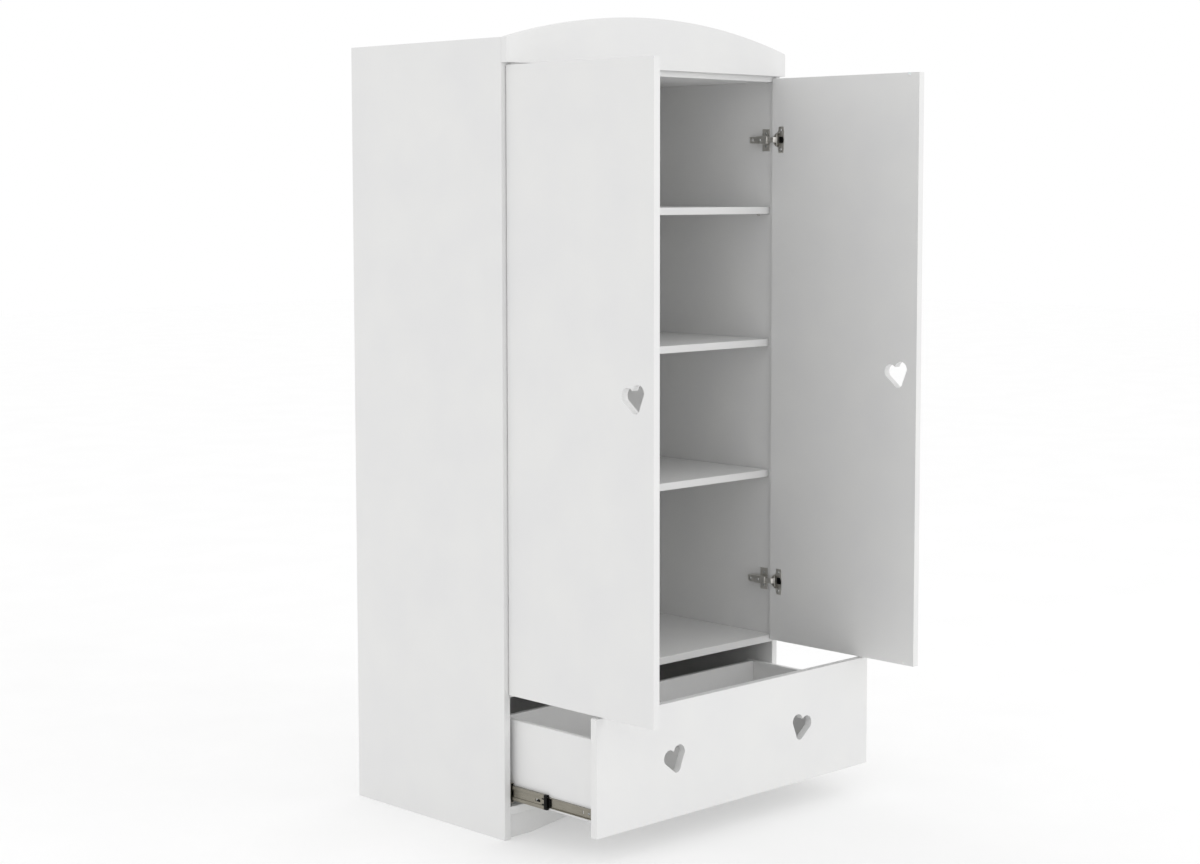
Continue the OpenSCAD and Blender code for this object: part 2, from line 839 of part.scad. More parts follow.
module drawer_front() color("white") row() difference() {
    front_half = half_w - drawer_reveal;
    block([-front_half, -drawer_out - board_t, drawer_front_z],
        [front_half, -drawer_out, drawer_front_top]);
    for (s = [-1, 1]) {
        translate([s * heart_spread, -drawer_out, drawer_heart_z]) heart_cut(-s * heart_tilt);
    }
    bottom_slot();
}

// Space of the bottom board, cut into the front and both sides.
module bottom_slot() {
    reach = drawer_half - drawer_side_t + bottom_groove;
    block([-reach, -drawer_out - bottom_groove, drawer_bottom_z],
        [reach, drawer_rear_y + 1, drawer_bottom_z + drawer_bottom_t]);
}

module drawer_side() {
    difference() {
        block([-drawer_half, -drawer_out, drawer_box_z],
            [-drawer_half + drawer_side_t, drawer_rear_y, drawer_box_z + drawer_side_h]);
        bottom_slot();
        at_drawer_screws() screw_hole(30);
        at_inner_slide_screws() screw_hole(drawer_side_t - 2);
    }
}

module drawer_side_left() color("whitesmoke") row() drawer_side();
module drawer_side_right() color("whitesmoke") row() mirrored(true) drawer_side();

module drawer_back() color("whitesmoke") row() difference() {
    half = drawer_half - drawer_side_t;
    block([-half, drawer_back_y, drawer_bottom_z + drawer_bottom_t],
        [half, drawer_back_y + drawer_side_t, drawer_box_z + drawer_side_h]);
    at_drawer_screws() screw_hole(30);
}

module drawer_bottom() color("white") row() {
    reach = drawer_half - drawer_side_t + bottom_groove;
    block([-reach, -drawer_out - bottom_groove, drawer_bottom_z],
        [reach, drawer_back_y + drawer_side_t, drawer_bottom_z + drawer_bottom_t]);
}

module drawer_screws() color("silver") row() at_drawer_screws() screw(30);

// ---- Drawer slides, three members with two ball cages each side ----

// Draws a section, x towards the drawer and y up, along Y from y0 for len.
module slide_bar(y0, len) {
    translate([0, y0 + len, 0]) rotate([90, 0, 0]) linear_extrude(height = len) children();
}

module rect(x0, x1, z0, z1) translate([x0, z0]) square([x1 - x0, z1 - z0]);

module up_down() {
    children();
    mirror([0, 1]) children();
}

module outer_section() {
    rect(0, steel_t, -outer_half, outer_half);
    up_down() {
        rect(0, outer_depth, outer_half - steel_t, outer_half);
        rect(outer_depth - steel_t, outer_depth, outer_half - outer_lip, outer_half);
    }
}

module mid_section() {
    rect(mid_web_x, mid_web_x + steel_t, -mid_web_half, mid_web_half);
    up_down() {
        rect(mid_x, mid_web_x + steel_t, mid_web_half - steel_t, mid_web_half);
        rect(mid_x, mid_x + steel_t, mid_web_half - steel_t, mid_half);
        rect(mid_x, mid_end_x, mid_half - steel_t, mid_half);
        rect(mid_end_x - steel_t, mid_end_x, mid_half - mid_lip, mid_half);
    }
}

module inner_section() difference() {
    rect(inner_tip_x, slide_gap, -inner_half, inner_half);
    rect(inner_tip_x - 1, slide_gap - steel_t, steel_t - inner_half, inner_half - steel_t);
}

module slide_outer() {
    difference() {
        at_left_slide() slide_bar(0, slide_len) outer_section();
        at_outer_slide_screws() screw_hole();
    }
}

module slide_outer_left() color("darkgray") row() slide_outer();
module slide_outer_right() color("darkgray") row() mirrored(true) slide_outer();

// Black plastic liners inside the outer members' front ends, open for the middle member.
module slide_end_caps() color("dimgray") row() both_sides() at_left_slide() {
    slide_bar(0, cap_len) {
        rect(steel_t, mid_x - 0.5, -outer_half + steel_t, outer_half - steel_t);
        up_down() rect(steel_t, outer_depth - steel_t, mid_half + 0.5, outer_half - steel_t);
    }
}

// Flat heads, so that the ball cages roll over them.
module slide_screws() color("silver") row() {
    at_outer_slide_screws() screw(screw_len, flat_head_h);
}

module slide_mid() {
    difference() {
        at_left_slide() slide_bar(mid_front_y, mid_len) mid_section();
        at_left_slide() block([mid_web_x - 1, catch_y, -3], [mid_web_x + 2, catch_y + 16, 3]);
    }
}

module slide_mid_left() color("darkgray") row() slide_mid();
module slide_mid_right() color("darkgray") row() mirrored(true) slide_mid();

// Black plastic bumper on the middle member's front end, with two hooks on the web and a
// catch in the web's slot.
module slide_mid_bumpers() color("dimgray") row() both_sides() at_left_slide() {
    hook_x = mid_web_x - 0.9;
    slide_bar(mid_front_y - bumper_len, bumper_len) {
        rect(mid_x, mid_web_x + steel_t, -mid_half, mid_half);
        up_down() rect(mid_x, mid_end_x, inner_half + 0.9, mid_half);
    }
    slide_bar(mid_front_y, 8) up_down() rect(hook_x, mid_web_x, 5, 8);
    slide_bar(catch_y, 10) rect(mid_web_x - 1, mid_web_x + steel_t, -3, 1);
}

module slide_inner() {
    difference() {
        at_left_slide() slide_bar(-drawer_out, slide_len) inner_section();
        at_inner_slide_screws() screw_hole();
        at_left_slide() block([slide_gap - 2, slot_y - 1.5, -4], [slide_gap + 1, slot_y + 1.5, 4]);
    }
}

module slide_inner_left() color("darkgray") row() slide_inner();
module slide_inner_right() color("darkgray") row() mirrored(true) slide_inner();

// Black release levers inside the inner members.
module slide_levers() color("dimgray") row() both_sides() at_left_slide() {
    slide_bar(lever_y, lever_len) rect(inner_tip_x + 0.6, slide_gap - steel_t, -9, 9);
}

module slide_inner_screws() color("silver") row() {
    at_inner_slide_screws() screw(drawer_side_t - 2);
}

// A row of balls along Y.
module ball_row(y0, len, r) {
    step = (len - 20) / (ball_count - 1);
    for (i = [0:ball_count - 1]) translate([0, y0 + 10 + i * step, 0]) sphere(r = r, $fn = 24);
}

module ball_cages_outer() color("goldenrod") row() both_sides() at_left_slide() {
    slide_bar(outer_cage_y, outer_cage_len) {
        rect(cage_x, cage_x + cage_t, -outer_ball_z, outer_ball_z);
        up_down() rect(cage_x, outer_ball_x + 1.7,
            outer_ball_z - cage_t / 2, outer_ball_z + cage_t / 2);
    }
    for (s = [-1, 1]) translate([outer_ball_x, 0, s * outer_ball_z])
        ball_row(outer_cage_y, outer_cage_len, outer_ball_r);
}

module ball_cages_inner() color("goldenrod") row() both_sides() at_left_slide() {
    slide_bar(inner_cage_y, inner_cage_len) {
        rect(inner_ball_x - cage_t / 2, inner_ball_x + cage_t / 2, -inner_ball_z, inner_ball_z);
    }
    for (s = [-1, 1]) translate([inner_ball_x, 0, s * inner_ball_z])
        ball_row(inner_cage_y, inner_cage_len, inner_ball_r);
}

side_left();
side_right();
partition();
top_panel();
floor_panel();
base_panel();
plinth_front();
plinth_rear();
back_panel();
crown();
shelf_upper();
shelf_middle();
shelf_lower();
shelf_pins();
hanging_rail();
rail_sockets();
wood_dowels();
cam_locks();
cam_bolts();
crown_brackets();
wall_brackets();
bracket_screws();
back_nails();
hinge_plates();
hinge_arms();
hinge_plate_screws();
hinge_arm_screws();
arm_pins();
slide_outer_left();
slide_outer_right();
slide_end_caps();
slide_screws();
hinge_links_left();
hinge_links_right();
door_left();
door_right();
hinge_cups_left();
hinge_cups_right();
cup_pins_left();
cup_pins_right();
cup_screws_left();
cup_screws_right();
door_bumpers_left();
door_bumpers_right();
drawer_front();
drawer_side_left();
drawer_side_right();
drawer_back();
drawer_bottom();
slide_inner_left();
slide_inner_right();
slide_levers();
slide_inner_screws();
drawer_screws();
slide_mid_left();
slide_mid_right();
slide_mid_bumpers();
ball_cages_outer();
ball_cages_inner();
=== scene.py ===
"""Looks of a white lacquered wardrobe: two open doors, an arched crown and a pulled-out drawer."""

import json
import math

import bmesh
import bpy
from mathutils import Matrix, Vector

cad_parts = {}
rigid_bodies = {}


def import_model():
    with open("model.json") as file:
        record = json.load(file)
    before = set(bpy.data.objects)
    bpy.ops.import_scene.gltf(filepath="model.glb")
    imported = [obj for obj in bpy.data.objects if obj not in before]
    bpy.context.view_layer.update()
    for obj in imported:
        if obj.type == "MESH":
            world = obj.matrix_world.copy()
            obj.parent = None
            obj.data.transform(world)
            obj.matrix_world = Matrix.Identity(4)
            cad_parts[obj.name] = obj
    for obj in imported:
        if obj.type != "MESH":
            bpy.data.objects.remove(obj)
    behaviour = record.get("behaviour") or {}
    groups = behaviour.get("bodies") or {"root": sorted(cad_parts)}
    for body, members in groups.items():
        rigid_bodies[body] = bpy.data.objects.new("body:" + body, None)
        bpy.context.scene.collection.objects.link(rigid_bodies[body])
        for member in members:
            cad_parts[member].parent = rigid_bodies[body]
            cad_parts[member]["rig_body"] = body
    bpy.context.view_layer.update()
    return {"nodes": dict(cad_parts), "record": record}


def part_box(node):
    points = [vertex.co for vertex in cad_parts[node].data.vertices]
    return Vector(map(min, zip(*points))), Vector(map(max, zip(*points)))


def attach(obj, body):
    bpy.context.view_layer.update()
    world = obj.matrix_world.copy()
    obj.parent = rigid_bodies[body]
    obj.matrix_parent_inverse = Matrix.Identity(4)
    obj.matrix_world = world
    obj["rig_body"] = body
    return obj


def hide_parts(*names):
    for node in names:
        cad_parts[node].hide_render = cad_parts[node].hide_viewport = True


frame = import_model()
MM = 0.001
NODES = frame["nodes"]
SCENE = bpy.context.scene


# ---- Materials ----

def linear(hexcode):
    """An sRGB hex colour as linear RGBA."""
    parts = [int(hexcode[i:i + 2], 16) / 255 for i in (0, 2, 4)]
    return [c / 12.92 if c <= 0.04045 else ((c + 0.055) / 1.055) ** 2.4 for c in parts] + [1.0]


def add(tree, kind, settings=None, links=None):
    """Adds one node, sets its attributes and socket values, and links its inputs."""
    made = tree.nodes.new(kind)
    for key, value in (settings or {}).items():
        if isinstance(key, str) and hasattr(made, key):
            setattr(made, key, value)
        else:
            made.inputs[key].default_value = value
    for key, source in (links or {}).items():
        tree.links.new(source, made.inputs[key])
    return made


def surface(name, settings):
    """A new material with one Principled shader, and the object coordinates in metres."""
    material = bpy.data.materials.new(name)
    material.use_nodes = True
    tree = material.node_tree
    shader = tree.nodes["Principled BSDF"]
    for key, value in settings.items():
        shader.inputs[key].default_value = value
    place = add(tree, "ShaderNodeTexCoord").outputs["Object"]
    return material, tree, shader, place


def noise(tree, place, size_mm, stretch=(1, 1, 1), detail=2.0, rough=0.5):
    """Noise whose grains measure size_mm. stretch lengthens them along an axis."""
    scaled = add(tree, "ShaderNodeMapping", {"Scale": [1 / s for s in stretch]}, {"Vector": place})
    return add(tree, "ShaderNodeTexNoise",
               {"Scale": 1 / (size_mm * MM), "Detail": detail, "Roughness": rough},
               {"Vector": scaled.outputs["Vector"]}).outputs["Fac"]


def spread(tree, factor, low, high):
    """Maps a noise's 0 to 1 to low to high."""
    return add(tree, "ShaderNodeMapRange", {"To Min": low, "To Max": high},
               {"Value": factor}).outputs["Result"]


def tint(tree, factor, dark, light):
    """A ramp between two hex colours over the middle of a noise's range."""
    ramp = add(tree, "ShaderNodeValToRGB", links={"Fac": factor})
    for stop, place, colour in zip(ramp.color_ramp.elements, (0.3, 0.7), (dark, light)):
        stop.position = place
        stop.color = linear(colour)
    return ramp.outputs["Color"]


def bump(tree, shader, height, depth_mm, strength):
    """Tilts the surface by a height pattern that is depth_mm deep."""
    made = add(tree, "ShaderNodeBump", {"Distance": depth_mm * MM, "Strength": strength},
               {"Height": height})
    tree.links.new(made.outputs["Normal"], shader.inputs["Normal"])


def make_white_lacquer():
    # Satin polyurethane lacquer sprayed on MDF: an even white with a soft sheen, and a faint
    # orange peel of about 2.5 mm waves that only shows where light grazes the board.
    made, tree, shader, place = surface("satin_white_lacquer_on_mdf", {"IOR": 1.5})
    peel = noise(tree, place, 2.5, detail=1.0)
    cloud = noise(tree, place, 140, detail=2.0)
    tree.links.new(tint(tree, cloud, "E1E1E1", "E4E4E3"), shader.inputs["Base Color"])
    tree.links.new(spread(tree, noise(tree, place, 35, detail=3.0), 0.36, 0.44),
                   shader.inputs["Roughness"])
    bump(tree, shader, peel, 0.03, 0.35)
    return made


def make_painted_hardboard():
    # White printed hardboard: flatter than the boards, with the fine felt of its pressed
    # fibres, 1.5 mm long, under the paint.
    made, tree, shader, place = surface("white_painted_hardboard", {"IOR": 1.48})
    fibre = noise(tree, place, 1.5, stretch=(1, 1, 2.5), detail=3.0, rough=0.6)
    tree.links.new(tint(tree, noise(tree, place, 60), "DFDFDE", "E3E3E2"),
                   shader.inputs["Base Color"])
    tree.links.new(spread(tree, fibre, 0.5, 0.62), shader.inputs["Roughness"])
    bump(tree, shader, fibre, 0.06, 0.5)
    return made


def make_beech():
    # Turned beech dowel: pale pinkish brown with 1 mm rays and long grain.
    made, tree, shader, place = surface("beech_dowel_rod", {"IOR": 1.5, "Roughness": 0.6})
    grain = noise(tree, place, 1.2, stretch=(1, 6, 6), detail=4.0, rough=0.6)
    tree.links.new(tint(tree, grain, "B98D62", "D9B88D"), shader.inputs["Base Color"])
    bump(tree, shader, grain, 0.05, 0.6)
    return made


def make_metal(name, dark, light, rough, grain_mm, stretch, depth_mm):
    """Bare or plated metal: two close tones in the grain that its making left."""
    made, tree, shader, place = surface(name, {"Metallic": 1.0})
    grain = noise(tree, place, grain_mm, stretch=stretch, detail=3.0, rough=0.55)
    tree.links.new(tint(tree, grain, dark, light), shader.inputs["Base Color"])
    tree.links.new(spread(tree, grain, *rough), shader.inputs["Roughness"])
    bump(tree, shader, grain, depth_mm, 0.5)
    return made


def make_plastic(name, dark, light, rough, grain_mm, depth_mm, **settings):
    """Moulded plastic with the fine spark-eroded grain of its mould."""
    made, tree, shader, place = surface(name, {"IOR": 1.48, **settings})
    grain = noise(tree, place, grain_mm, detail=2.0)
    tree.links.new(tint(tree, grain, dark, light), shader.inputs["Base Color"])
    tree.links.new(spread(tree, grain, *rough), shader.inputs["Roughness"])
    bump(tree, shader, grain, depth_mm, 0.4)
    return made


FINISH = {
    "white_lacquer": make_white_lacquer(),
    "painted_hardboard": make_painted_hardboard(),
    "beech": make_beech(),
    # Nickel over pressed steel: bright and slightly warm, with faint 6 mm waves from the press.
    "nickel_plate": make_metal("nickel_plated_pressed_steel", "CDCBC6", "D4D2CD",
                               (0.34, 0.42), 6, (1, 1, 1), 0.004),
    # Chromed tube: near mirror, drawn along X.
    "chrome_tube": make_metal("chromed_steel_tube", "C9CBCD", "D3D5D7",
                              (0.06, 0.12), 0.8, (40, 1, 1), 0.004),
    # Die-cast zinc alloy: dull grey with a sandy 0.7 mm skin.
    "zinc_casting": make_metal("die_cast_zinc_alloy", "8E8F90", "A2A3A4",
                               (0.38, 0.5), 0.7, (1, 1, 1), 0.03),
    # Bright zinc plate on cold-headed steel, 0.6 mm grain.
    "zinc_screw": make_metal("bright_zinc_plated_steel", "B2B3B2", "C6C7C6",
                             (0.24, 0.34), 0.6, (1, 1, 1), 0.01),
    # Roll-formed strip, zinc plated: a warm grey with rolling lines along the slide.
    "slide_steel": make_metal("roll_formed_zinc_plated_strip", "858177", "979388",
                              (0.24, 0.34), 0.5, (1, 60, 1), 0.008),
    # Hardened bearing balls in their pressed cage.
    "ball_steel": make_metal("polished_bearing_steel", "BFBFBE", "CFCFCE",
                             (0.08, 0.16), 0.5, (1, 1, 1), 0.004),
    # Black acetal: semi-matt, with a fine 0.3 mm grain.
    "black_plastic": make_plastic("moulded_black_acetal", "030303", "060606",
                                  (0.46, 0.58), 0.3, 0.02, **{"Specular IOR Level": 0.15}),
    # Soft milky polyurethane, lightly frosted.
    "clear_bumper": make_plastic("milky_polyurethane_bumper", "E9EAEA", "F0F1F1",
                                 (0.3, 0.4), 0.8, 0.01, **{"Subsurface Weight": 0.3,
                                                           "Subsurface Scale": 2 * MM}),
}


SLOT = {entry["node"]: entry["material_slot"] for entry in frame["record"]["subparts"]}
for name, piece in NODES.items():
    piece.data.materials.clear()
    piece.data.materials.append(FINISH[SLOT[name]])


# ---- Pieces made from the CAD solids ----

# Corners closer than MERGE are one. Faces that turn by less than FLAT_ANGLE are one face.
# A corner lies on a plane of the board's box when it is within ON_PLANE of it.
MERGE = 0.001 * MM
ON_PLANE = 0.01 * MM
FLAT_ANGLE = math.radians(0.4)


def clean_copy(node):
    """A CAD node's solid as a bmesh: triangles merged, flat faces whole again."""
    bm = bmesh.new()
    bm.from_mesh(NODES[node].data)
    bmesh.ops.remove_doubles(bm, verts=bm.verts, dist=MERGE)
    bmesh.ops.dissolve_limit(bm, angle_limit=FLAT_ANGLE, verts=bm.verts, edges=bm.edges,
                             delimit={"NORMAL"})
    return bm


def finish_piece(bm, name, body, slot, nodes=()):
    """Makes a bmesh a piece that rides on a body and stands for CAD nodes."""
    mesh = bpy.data.meshes.new(name)
    bm.to_mesh(mesh)
    bm.free()
    mesh.materials.append(FINISH[slot])
    piece = bpy.data.objects.new(name, mesh)
    SCENE.collection.objects.link(piece)
    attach(piece, body)
    if nodes:
        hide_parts(*nodes)


def body_of(node):
    """The body that a CAD node rides on."""
    return NODES[node]["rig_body"]


def outer_edges(bm, min_angle=30):
    """Convex edges that turn by more than min_angle degrees."""
    return [e for e in bm.edges if len(e.link_faces) == 2 and e.is_convex
            and e.calc_face_angle(0) > math.radians(min_angle)]


def round_over(bm, edges, radius, segments=3):
    """Rounds edges and returns the new faces."""
    return bmesh.ops.bevel(bm, geom=edges, offset=radius, segments=segments, profile=0.5,
                           affect="EDGES", clamp_overlap=True)["faces"]


def smooth_round(bm, angle=32):
    """Smooth shading everywhere but over edges that turn by more than angle degrees."""
    for face in bm.faces:
        face.smooth = True
    for edge in bm.edges:
        if len(edge.link_faces) == 2 and edge.calc_face_angle(0) > math.radians(angle):
            edge.smooth = False


def chains(edges):
    """Groups edges that meet end to end."""
    wanted, seen, found = set(edges), set(), []
    for first in edges:
        if first in seen:
            continue
        seen.add(first)
        chain, stack = [], [first]
        while stack:
            edge = stack.pop()
            chain.append(edge)
            for vert in edge.verts:
                for other in vert.link_edges:
                    if other in wanted and other not in seen:
                        seen.add(other)
                        stack.append(other)
        found.append(chain)
    return found


def on_box(point, low, high, i):
    """True when a point lies on one of a box's two faces across axis i."""
    return min(abs(point[i] - low[i]), abs(point[i] - high[i])) < ON_PLANE


def is_arris(edge, low, high, thin):
    """True on the outline of a board's two faces, and at its corners across the thickness."""
    ends = [vert.co for vert in edge.verts]
    climb = abs(ends[0][thin] - ends[1][thin])
    on_face = climb < MERGE and on_box(ends[0], low, high, thin)
    across = climb > (high[thin] - low[thin]) * 0.9
    at_corner = all(sum(on_box(end, low, high, i) for i in range(3)) >= 2 for end in ends)
    return on_face or (across and at_corner)


# Boards: the sander eases their long arrises and the rims of the hearts by 1.2 mm. Small
# bores keep sharp rims, which fittings cover.
BOARD_EASE = 1.2 * MM
SHORTEST_EASED_RIM = 150 * MM
BOARDS = [
    "side_left", "side_right", "partition", "top_panel", "floor_panel", "base_panel",
    "plinth_front", "plinth_rear", "crown", "shelf_upper", "shelf_middle", "shelf_lower",
    "door_left", "door_right", "drawer_front", "drawer_side_left", "drawer_side_right",
    "drawer_back",
]
for node in BOARDS:
    low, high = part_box(node)
    thin = min(range(3), key=lambda i: high[i] - low[i])
    bm = clean_copy(node)
    arrises = [e for e in outer_edges(bm) if is_arris(e, low, high, thin)]
    rims = [chain for chain in chains(arrises)
            if sum(e.calc_length() for e in chain) > SHORTEST_EASED_RIM]
    for face in bm.faces:
        face.smooth = False
    for face in round_over(bm, [e for chain in rims for e in chain], BOARD_EASE):
        face.smooth = True
    finish_piece(bm, node + "_board", body_of(node), "white_lacquer", [node])

# Metal and plastic parts: their edges eased by the radius in mm, round faces smooth.
EASED_TURN = 50
FITTINGS = {
    "hinge_plates": 0.3, "hinge_links_left": 0.15, "hinge_links_right": 0.15,
    "hinge_cups_left": 0.25, "hinge_cups_right": 0.25, "arm_pins": 0.2, "cup_pins_left": 0.2,
    "cup_pins_right": 0.2, "hanging_rail": 0.15, "rail_sockets": 0.4, "crown_brackets": 0.3,
    "wall_brackets": 0.3, "door_bumpers_left": 0.6, "door_bumpers_right": 0.6,
    "slide_end_caps": 0.4, "slide_mid_bumpers": 0.5, "slide_levers": 0.6,
    "ball_cages_outer": 0.0, "ball_cages_inner": 0.0,
}
for node, radius in FITTINGS.items():
    bm = clean_copy(node)
    if radius:
        round_over(bm, outer_edges(bm, EASED_TURN), radius * MM, 2)
    smooth_round(bm)
    finish_piece(bm, node + "_part", body_of(node), SLOT[node], [node])


# Slide members are roll-formed from strip. Their folds, where two faces wider than the strip
# is thick meet along Y, are round outside. The strip's own edges stay square.
FOLD_RADIUS = 1.1 * MM
FOLD_FACE = 2 * MM
SHORTEST_FOLD = 20 * MM


def reach_across(face, edge):
    """How far a face reaches across from an edge that runs along Y."""
    here = edge.verts[0].co
    return max(math.hypot(vert.co.x - here.x, vert.co.z - here.z) for vert in face.verts)


def is_fold(edge):
    """True on a long edge along Y between two wide faces."""
    length = edge.calc_length()
    along_y = abs(edge.verts[0].co.y - edge.verts[1].co.y) > 0.9 * length
    wide = all(reach_across(face, edge) > FOLD_FACE for face in edge.link_faces)
    return along_y and length > SHORTEST_FOLD and wide


for node in ["slide_outer_left", "slide_outer_right", "slide_mid_left", "slide_mid_right",
             "slide_inner_left", "slide_inner_right"]:
    bm = clean_copy(node)
    round_over(bm, [e for e in outer_edges(bm, 60) if is_fold(e)], FOLD_RADIUS, 4)
    smooth_round(bm)
    finish_piece(bm, node + "_profile", body_of(node), "slide_steel", [node])


def islands(node):
    """The corner points of each separate solid of a CAD node, in a fixed order."""
    bm = clean_copy(node)
    found, seen = [], set()
    for first in bm.verts:
        if first in seen:
            continue
        seen.add(first)
        stack, points = [first], []
        while stack:
            vert = stack.pop()
            points.append(vert.co.copy())
            for edge in vert.link_edges:
                other = edge.other_vert(vert)
                if other not in seen:
                    seen.add(other)
                    stack.append(other)
        low = Vector([min(p[i] for p in points) for i in range(3)])
        high = Vector([max(p[i] for p in points) for i in range(3)])
        found.append((low, high, points))
    bm.free()
    return sorted(found, key=lambda solid: tuple(round(c, 5) for c in solid[0]))


# ---- Hinge arms, pressed from sheet ----

# Sections along the arm from its nose: share of its length, then in mm its half width, how far
# its top drops, and how far its flanges stop short of the plate.
ARM_SECTIONS = [
    (0.0, 7.6, 0.9, 10.5), (0.03, 9.2, 0.1, 10.5), (0.055, 9.5, 0.0, 10.2), (0.12, 9.5, 0.0, 0.4),
    (0.2, 9.5, 0.0, 0.0), (0.5, 9.5, 0.0, 0.0), (0.6, 8.4, 0.2, 0.0), (0.84, 8.0, 0.6, 0.0),
    (0.93, 7.4, 3.0, 0.0), (1.0, 6.4, 7.0, 0.0),
]
ARM_SHEET = 1.2 * MM
ARM_EASE = 0.5 * MM


def arm_solid(bm, low, high):
    """Adds one U-shaped arm that fills a CAD arm's box. It opens towards the side panel."""
    side = 1 if low.x > 0 else -1
    top, foot = sorted((abs(low.x), abs(high.x)))
    middle = (low.z + high.z) / 2
    rings = []
    for share, half, drop, rise in ARM_SECTIONS:
        y = low.y + share * (high.y - low.y)
        w, t, f = half * MM, top + drop * MM, foot - rise * MM
        outline = [(f, -w), (t, -w), (t, w), (f, w), (f, w - ARM_SHEET),
                   (t + ARM_SHEET, w - ARM_SHEET), (t + ARM_SHEET, ARM_SHEET - w),
                   (f, ARM_SHEET - w)]
        rings.append([bm.verts.new((side * x, y, middle + z)) for x, z in outline])
    count = len(rings[0])
    for near, far in zip(rings, rings[1:]):
        for i in range(count):
            j = (i + 1) % count
            bm.faces.new((near[i], near[j], far[j], far[i]))
    for ring in (rings[0], rings[-1]):
        for a, b, c, d in ((0, 1, 6, 7), (1, 2, 5, 6), (2, 3, 4, 5)):
            bm.faces.new([ring[k] for k in (a, b, c, d)])


bm = bmesh.new()
for low, high, _ in islands("hinge_arms"):
    arm_solid(bm, low, high)
bmesh.ops.recalc_face_normals(bm, faces=bm.faces)
round_over(bm, outer_edges(bm, EASED_TURN), ARM_EASE, 3)
smooth_round(bm)
finish_piece(bm, "hinge_arms_pressed", "carcass", "nickel_plate", ["hinge_arms"])


def add_block(bm, low, high, radius):
    """Adds a closed box between two corners, its edges rounded."""
    made = bmesh.ops.create_cube(bm, size=1.0)["verts"]
    for vert in made:
        vert.co = Vector([low[i] if vert.co[i] < 0 else high[i] for i in range(3)])
    edges = sorted({e for vert in made for e in vert.link_edges}, key=lambda e: e.index)
    round_over(bm, edges, radius, 3)


# Black dampers low in each hinge cup, clear of the folding link. From and to are measured from
# the flange's rear edge, deep and high from the cup's mouth.
DAMPER_FROM, DAMPER_TO, DAMPER_HALF = 14.0 * MM, 32.0 * MM, 8.0 * MM
DAMPER_DEEP, DAMPER_HIGH = 11.2 * MM, 7.0 * MM
DAMPER_EASE = 1.0 * MM
for side in ("left", "right"):
    bm = bmesh.new()
    for low, high, _ in islands("hinge_cups_" + side):
        mouth = high.x if side == "left" else low.x
        inward = -1 if side == "left" else 1
        xs = sorted((mouth + inward * DAMPER_DEEP, mouth + inward * DAMPER_HIGH))
        middle = (low.z + high.z) / 2
        add_block(bm, (xs[0], high.y - DAMPER_TO, middle - DAMPER_HALF),
                  (xs[1], high.y - DAMPER_FROM, middle + DAMPER_HALF), DAMPER_EASE)
    bmesh.ops.recalc_face_normals(bm, faces=bm.faces)
    smooth_round(bm)
    finish_piece(bm, "hinge_dampers_" + side, body_of("hinge_cups_" + side), "black_plastic")


# ---- Screws, nails, pins and cams, one Geometry Nodes tree for all ----

